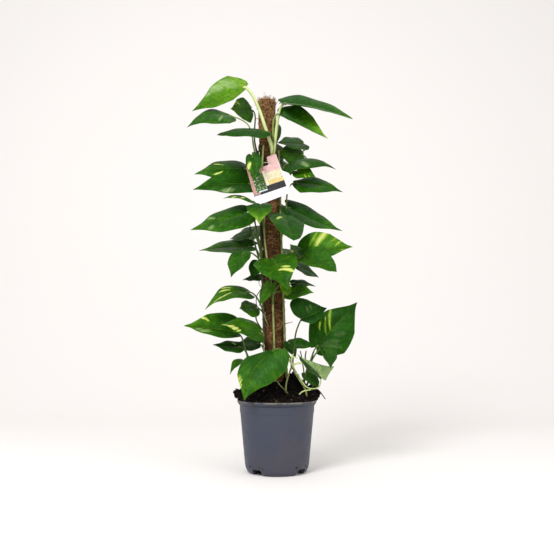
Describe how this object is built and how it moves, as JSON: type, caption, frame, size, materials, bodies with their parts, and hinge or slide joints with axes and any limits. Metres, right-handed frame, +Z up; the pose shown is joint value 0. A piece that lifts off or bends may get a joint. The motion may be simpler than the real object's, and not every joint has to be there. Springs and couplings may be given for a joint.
{
  "type": "golden pothos on a coir pole in a nursery pot",
  "caption": "Potted climbing pothos: heart-shaped variegated leaves on stems round a leaning coir pole, soil in a tapered nursery pot, with a hang label tied on.",
  "frame": {"origin": "centre of the pot's underside, on the surface that the pot stands on", "axes": "+Z up the plant; -Y is the front, where the label hangs; +X to the right seen from the front"},
  "size_m": [0.3692, 0.2675, 0.8703],
  "materials": {
    "pot": "matte blue-grey moulded plastic",
    "soil": "dry dark peat with small clods",
    "stake": "rough sawn wood",
    "coir": "loose brown coconut fibre",
    "leaf": "waxy green leaf with yellow-cream streaks, on green stalks and stems",
    "label": "smooth printed card-thin plastic",
    "tie": "pale soft plastic tie"
  },
  "bodies": {
    "root": {"pot": "pot", "soil": "soil", "pole_stake": "stake", "coir_sleeve": "coir", "vine_front": "leaf", "vine_right": "leaf", "vine_left": "leaf", "vine_back": "leaf", "shoot_left": "leaf", "shoot_front": "leaf", "shoot_right": "leaf", "label": "label", "label_tie": "tie"}
  },
  "joints": []
}
